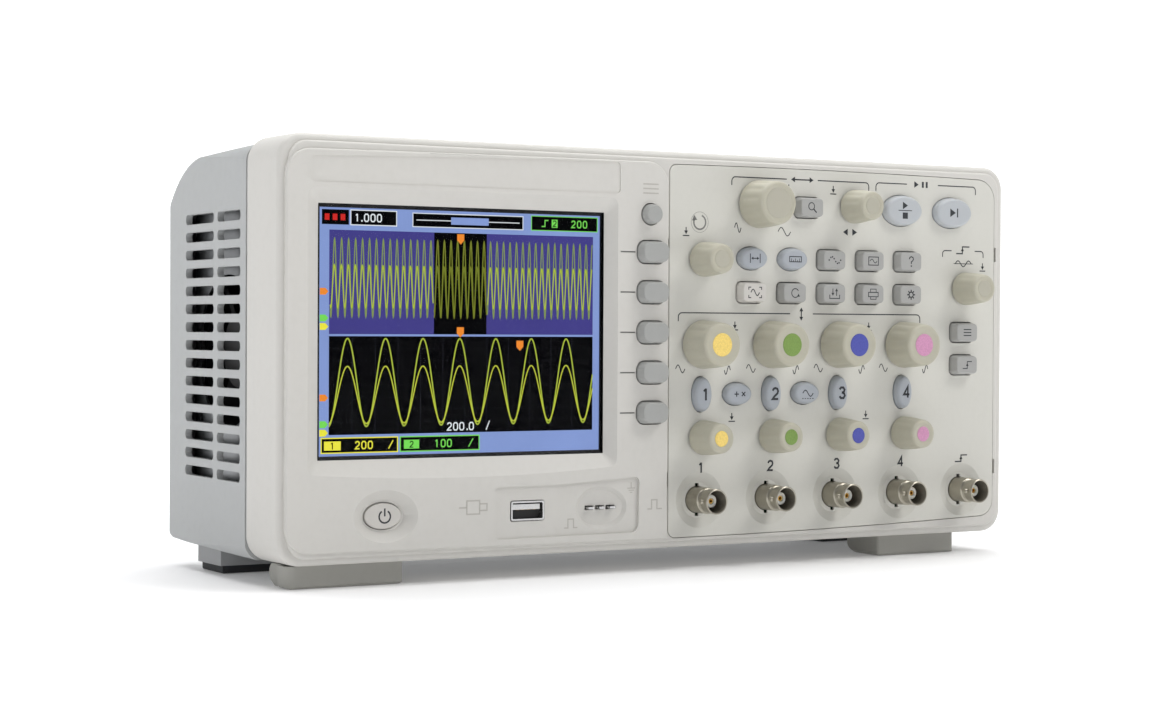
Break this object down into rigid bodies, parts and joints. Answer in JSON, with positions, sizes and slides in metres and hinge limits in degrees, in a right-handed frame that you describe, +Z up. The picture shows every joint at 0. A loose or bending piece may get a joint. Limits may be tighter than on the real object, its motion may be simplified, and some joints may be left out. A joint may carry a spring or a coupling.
{
  "type": "benchtop oscilloscope",
  "caption": "Benchtop digital oscilloscope: colour display with soft keys, turning knobs, channel and menu keys, bayonet input sockets, vented case, tilt feet and a carrying handle.",
  "frame": {"origin": "middle of the footprint, on the surface that the feet stand on", "axes": "+Z up, the front panel looks to -Y, +X to the right seen from the front"},
  "size_m": [0.3246, 0.1292, 0.1578],
  "materials": {
    "bezel_plastic": "fine-grain moulded",
    "panel_plastic": "fine-grain moulded",
    "cover_plastic": "fine spark-eroded grain",
    "window": "clear",
    "lcd": "black frame, lit panel",
    "circuit_board": "solder mask",
    "sheet_steel": "zinc-plated sheet",
    "fan_plastic": "black moulded",
    "nickel": "satin nickel plate",
    "socket_metal": "bright tin plate",
    "inlet_plastic": "black moulded",
    "foot_plastic": "moulded, rubber pads",
    "screw_steel": "zinc-plated",
    "knob_plastic": "soft-touch, fluted",
    "key_grey": "satin",
    "key_blue": "satin",
    "key_warm": "satin",
    "key_light": "satin"
  },
  "bodies": {
    "case": {"front_bezel": "bezel_plastic", "control_panel_plate": "panel_plastic", "rear_cover": "cover_plastic", "display_window": "window", "lcd_module": "lcd", "front_panel_board": "circuit_board", "main_board": "circuit_board", "shield_chassis": "sheet_steel", "power_supply_board": "circuit_board", "fan_frame": "fan_plastic", "bnc_connectors": "nickel", "usb_ports": "socket_metal", "probe_comp_terminals": "socket_metal", "power_inlet": "inlet_plastic", "rear_feet": "foot_plastic", "case_screws": "screw_steel"},
    "fan_rotor": {"fan_rotor": "fan_plastic"},
    "tilt_foot_left": {"tilt_foot_left": "foot_plastic"},
    "tilt_foot_right": {"tilt_foot_right": "foot_plastic"},
    "carry_handle": {"carry_handle": "foot_plastic"},
    "power_button": {"power_button": "key_light"},
    "menu_on_off_button": {"menu_on_off_button": "key_grey"},
    "menu_zoom_button": {"menu_zoom_button": "key_warm"},
    "run_stop_button": {"run_stop_button": "key_blue"},
    "single_button": {"single_button": "key_blue"},
    "cursors_button": {"cursors_button": "key_blue"},
    "measure_button": {"measure_button": "key_blue"},
    "acquire_button": {"acquire_button": "key_warm"},
    "display_button": {"display_button": "key_warm"},
    "help_button": {"help_button": "key_warm"},
    "auto_scale_button": {"auto_scale_button": "key_light"},
    "default_setup_button": {"default_setup_button": "key_warm"},
    "save_recall_button": {"save_recall_button": "key_warm"},
    "print_button": {"print_button": "key_warm"},
    "utility_button": {"utility_button": "key_warm"},
    "trigger_menu_button": {"trigger_menu_button": "key_warm"},
    "trigger_force_button": {"trigger_force_button": "key_warm"},
    "channel_1_button": {"channel_1_button": "key_blue"},
    "channel_2_button": {"channel_2_button": "key_blue"},
    "channel_3_button": {"channel_3_button": "key_blue"},
    "channel_4_button": {"channel_4_button": "key_blue"},
    "math_button": {"math_button": "key_blue"},
    "ref_button": {"ref_button": "key_blue"},
    "softkey_1_button": {"softkey_1_button": "key_grey"},
    "softkey_2_button": {"softkey_2_button": "key_grey"},
    "softkey_3_button": {"softkey_3_button": "key_grey"},
    "softkey_4_button": {"softkey_4_button": "key_grey"},
    "softkey_5_button": {"softkey_5_button": "key_grey"},
    "horizontal_scale_knob": {"horizontal_scale_knob": "knob_plastic"},
    "horizontal_position_knob": {"horizontal_position_knob": "knob_plastic"},
    "entry_knob": {"entry_knob": "knob_plastic"},
    "trigger_level_knob": {"trigger_level_knob": "knob_plastic"},
    "channel_1_scale_knob": {"channel_1_scale_knob": "knob_plastic"},
    "channel_1_position_knob": {"channel_1_position_knob": "knob_plastic"},
    "channel_2_scale_knob": {"channel_2_scale_knob": "knob_plastic"},
    "channel_2_position_knob": {"channel_2_position_knob": "knob_plastic"},
    "channel_3_scale_knob": {"channel_3_scale_knob": "knob_plastic"},
    "channel_3_position_knob": {"channel_3_position_knob": "knob_plastic"},
    "channel_4_scale_knob": {"channel_4_scale_knob": "knob_plastic"},
    "channel_4_position_knob": {"channel_4_position_knob": "knob_plastic"}
  },
  "joints": [
    {"name": "fan_spin", "type": "hinge", "parent": "case", "child": "fan_rotor", "pos_m": [-0.145, 0.0129, 0.082], "axis": [1, 0, 0], "continuous": true},
    {"name": "tilt_foot_left_fold", "type": "hinge", "parent": "case", "child": "tilt_foot_left", "pos_m": [-0.134, -0.0271, 0.0045], "axis": [-1, 0, 0], "range_deg": [-90, 0]},
    {"name": "tilt_foot_right_fold", "type": "hinge", "parent": "case", "child": "tilt_foot_right", "pos_m": [0.1223, -0.0271, 0.0045], "axis": [-1, 0, 0], "range_deg": [-90, 0]},
    {"name": "carry_handle_swing", "type": "hinge", "parent": "case", "child": "carry_handle", "pos_m": [0, 0.0279, 0.1464], "axis": [1, 0, 0], "range_deg": [-90, 0]},
    {"name": "power_button_press", "type": "slide", "parent": "case", "child": "power_button", "axis": [0, 1, 0], "range_m": [0, 0.0016], "stiffness_N_per_m": 600, "springref_m": -0.001},
    {"name": "menu_on_off_button_press", "type": "slide", "parent": "case", "child": "menu_on_off_button", "axis": [0, 1, 0], "range_m": [0, 0.0008], "stiffness_N_per_m": 900, "springref_m": -0.0005},
    {"name": "menu_zoom_button_press", "type": "slide", "parent": "case", "child": "menu_zoom_button", "axis": [0, 1, 0], "range_m": [0, 0.0008], "stiffness_N_per_m": 900, "springref_m": -0.0005},
    {"name": "run_stop_button_press", "type": "slide", "parent": "case", "child": "run_stop_button", "axis": [0, 1, 0], "range_m": [0, 0.0008], "stiffness_N_per_m": 900, "springref_m": -0.0005},
    {"name": "single_button_press", "type": "slide", "parent": "case", "child": "single_button", "axis": [0, 1, 0], "range_m": [0, 0.0008], "stiffness_N_per_m": 900, "springref_m": -0.0005},
    {"name": "cursors_button_press", "type": "slide", "parent": "case", "child": "cursors_button", "axis": [0, 1, 0], "range_m": [0, 0.0008], "stiffness_N_per_m": 900, "springref_m": -0.0005},
    {"name": "measure_button_press", "type": "slide", "parent": "case", "child": "measure_button", "axis": [0, 1, 0], "range_m": [0, 0.0008], "stiffness_N_per_m": 900, "springref_m": -0.0005},
    {"name": "acquire_button_press", "type": "slide", "parent": "case", "child": "acquire_button", "axis": [0, 1, 0], "range_m": [0, 0.0008], "stiffness_N_per_m": 900, "springref_m": -0.0005},
    {"name": "display_button_press", "type": "slide", "parent": "case", "child": "display_button", "axis": [0, 1, 0], "range_m": [0, 0.0008], "stiffness_N_per_m": 900, "springref_m": -0.0005},
    {"name": "help_button_press", "type": "slide", "parent": "case", "child": "help_button", "axis": [0, 1, 0], "range_m": [0, 0.0008], "stiffness_N_per_m": 900, "springref_m": -0.0005},
    {"name": "auto_scale_button_press", "type": "slide", "parent": "case", "child": "auto_scale_button", "axis": [0, 1, 0], "range_m": [0, 0.0008], "stiffness_N_per_m": 900, "springref_m": -0.0005},
    {"name": "default_setup_button_press", "type": "slide", "parent": "case", "child": "default_setup_button", "axis": [0, 1, 0], "range_m": [0, 0.0008], "stiffness_N_per_m": 900, "springref_m": -0.0005},
    {"name": "save_recall_button_press", "type": "slide", "parent": "case", "child": "save_recall_button", "axis": [0, 1, 0], "range_m": [0, 0.0008], "stiffness_N_per_m": 900, "springref_m": -0.0005},
    {"name": "print_button_press", "type": "slide", "parent": "case", "child": "print_button", "axis": [0, 1, 0], "range_m": [0, 0.0008], "stiffness_N_per_m": 900, "springref_m": -0.0005},
    {"name": "utility_button_press", "type": "slide", "parent": "case", "child": "utility_button", "axis": [0, 1, 0], "range_m": [0, 0.0008], "stiffness_N_per_m": 900, "springref_m": -0.0005},
    {"name": "trigger_menu_button_press", "type": "slide", "parent": "case", "child": "trigger_menu_button", "axis": [0, 1, 0], "range_m": [0, 0.0008], "stiffness_N_per_m": 900, "springref_m": -0.0005},
    {"name": "trigger_force_button_press", "type": "slide", "parent": "case", "child": "trigger_force_button", "axis": [0, 1, 0], "range_m": [0, 0.0008], "stiffness_N_per_m": 900, "springref_m": -0.0005},
    {"name": "channel_1_button_press", "type": "slide", "parent": "case", "child": "channel_1_button", "axis": [0, 1, 0], "range_m": [0, 0.0008], "stiffness_N_per_m": 900, "springref_m": -0.0005},
    {"name": "channel_2_button_press", "type": "slide", "parent": "case", "child": "channel_2_button", "axis": [0, 1, 0], "range_m": [0, 0.0008], "stiffness_N_per_m": 900, "springref_m": -0.0005},
    {"name": "channel_3_button_press", "type": "slide", "parent": "case", "child": "channel_3_button", "axis": [0, 1, 0], "range_m": [0, 0.0008], "stiffness_N_per_m": 900, "springref_m": -0.0005},
    {"name": "channel_4_button_press", "type": "slide", "parent": "case", "child": "channel_4_button", "axis": [0, 1, 0], "range_m": [0, 0.0008], "stiffness_N_per_m": 900, "springref_m": -0.0005},
    {"name": "math_button_press", "type": "slide", "parent": "case", "child": "math_button", "axis": [0, 1, 0], "range_m": [0, 0.0008], "stiffness_N_per_m": 900, "springref_m": -0.0005},
    {"name": "ref_button_press", "type": "slide", "parent": "case", "child": "ref_button", "axis": [0, 1, 0], "range_m": [0, 0.0008], "stiffness_N_per_m": 900, "springref_m": -0.0005},
    {"name": "softkey_1_button_press", "type": "slide", "parent": "case", "child": "softkey_1_button", "axis": [0, 1, 0], "range_m": [0, 0.0008], "stiffness_N_per_m": 900, "springref_m": -0.0005},
    {"name": "softkey_2_button_press", "type": "slide", "parent": "case", "child": "softkey_2_button", "axis": [0, 1, 0], "range_m": [0, 0.0008], "stiffness_N_per_m": 900, "springref_m": -0.0005},
    {"name": "softkey_3_button_press", "type": "slide", "parent": "case", "child": "softkey_3_button", "axis": [0, 1, 0], "range_m": [0, 0.0008], "stiffness_N_per_m": 900, "springref_m": -0.0005},
    {"name": "softkey_4_button_press", "type": "slide", "parent": "case", "child": "softkey_4_button", "axis": [0, 1, 0], "range_m": [0, 0.0008], "stiffness_N_per_m": 900, "springref_m": -0.0005},
    {"name": "softkey_5_button_press", "type": "slide", "parent": "case", "child": "softkey_5_button", "axis": [0, 1, 0], "range_m": [0, 0.0008], "stiffness_N_per_m": 900, "springref_m": -0.0005},
    {"name": "horizontal_scale_knob_turn", "type": "hinge", "parent": "case", "child": "horizontal_scale_knob", "pos_m": [0.0372, -0.0511, 0.139], "axis": [0, 1, 0], "continuous": true},
    {"name": "horizontal_position_knob_turn", "type": "hinge", "parent": "case", "child": "horizontal_position_knob", "pos_m": [0.0831, -0.0511, 0.1394], "axis": [0, 1, 0], "continuous": true},
    {"name": "entry_knob_turn", "type": "hinge", "parent": "case", "child": "entry_knob", "pos_m": [0.0119, -0.0511, 0.1173], "axis": [0, 1, 0], "continuous": true},
    {"name": "trigger_level_knob_turn", "type": "hinge", "parent": "case", "child": "trigger_level_knob", "pos_m": [0.1402, -0.0511, 0.1078], "axis": [0, 1, 0], "continuous": true},
    {"name": "channel_1_scale_knob_turn", "type": "hinge", "parent": "case", "child": "channel_1_scale_knob", "pos_m": [0.0116, -0.0511, 0.085], "axis": [0, 1, 0], "continuous": true},
    {"name": "channel_1_position_knob_turn", "type": "hinge", "parent": "case", "child": "channel_1_position_knob", "pos_m": [0.0121, -0.0511, 0.0497], "axis": [0, 1, 0], "continuous": true},
    {"name": "channel_2_scale_knob_turn", "type": "hinge", "parent": "case", "child": "channel_2_scale_knob", "pos_m": [0.044, -0.0511, 0.085], "axis": [0, 1, 0], "continuous": true},
    {"name": "channel_2_position_knob_turn", "type": "hinge", "parent": "case", "child": "channel_2_position_knob", "pos_m": [0.0445, -0.0511, 0.0497], "axis": [0, 1, 0], "continuous": true},
    {"name": "channel_3_scale_knob_turn", "type": "hinge", "parent": "case", "child": "channel_3_scale_knob", "pos_m": [0.0763, -0.0511, 0.085], "axis": [0, 1, 0], "continuous": true},
    {"name": "channel_3_position_knob_turn", "type": "hinge", "parent": "case", "child": "channel_3_position_knob", "pos_m": [0.0768, -0.0511, 0.0497], "axis": [0, 1, 0], "continuous": true},
    {"name": "channel_4_scale_knob_turn", "type": "hinge", "parent": "case", "child": "channel_4_scale_knob", "pos_m": [0.1086, -0.0511, 0.085], "axis": [0, 1, 0], "continuous": true},
    {"name": "channel_4_position_knob_turn", "type": "hinge", "parent": "case", "child": "channel_4_position_knob", "pos_m": [0.1091, -0.0511, 0.0497], "axis": [0, 1, 0], "continuous": true}
  ]
}
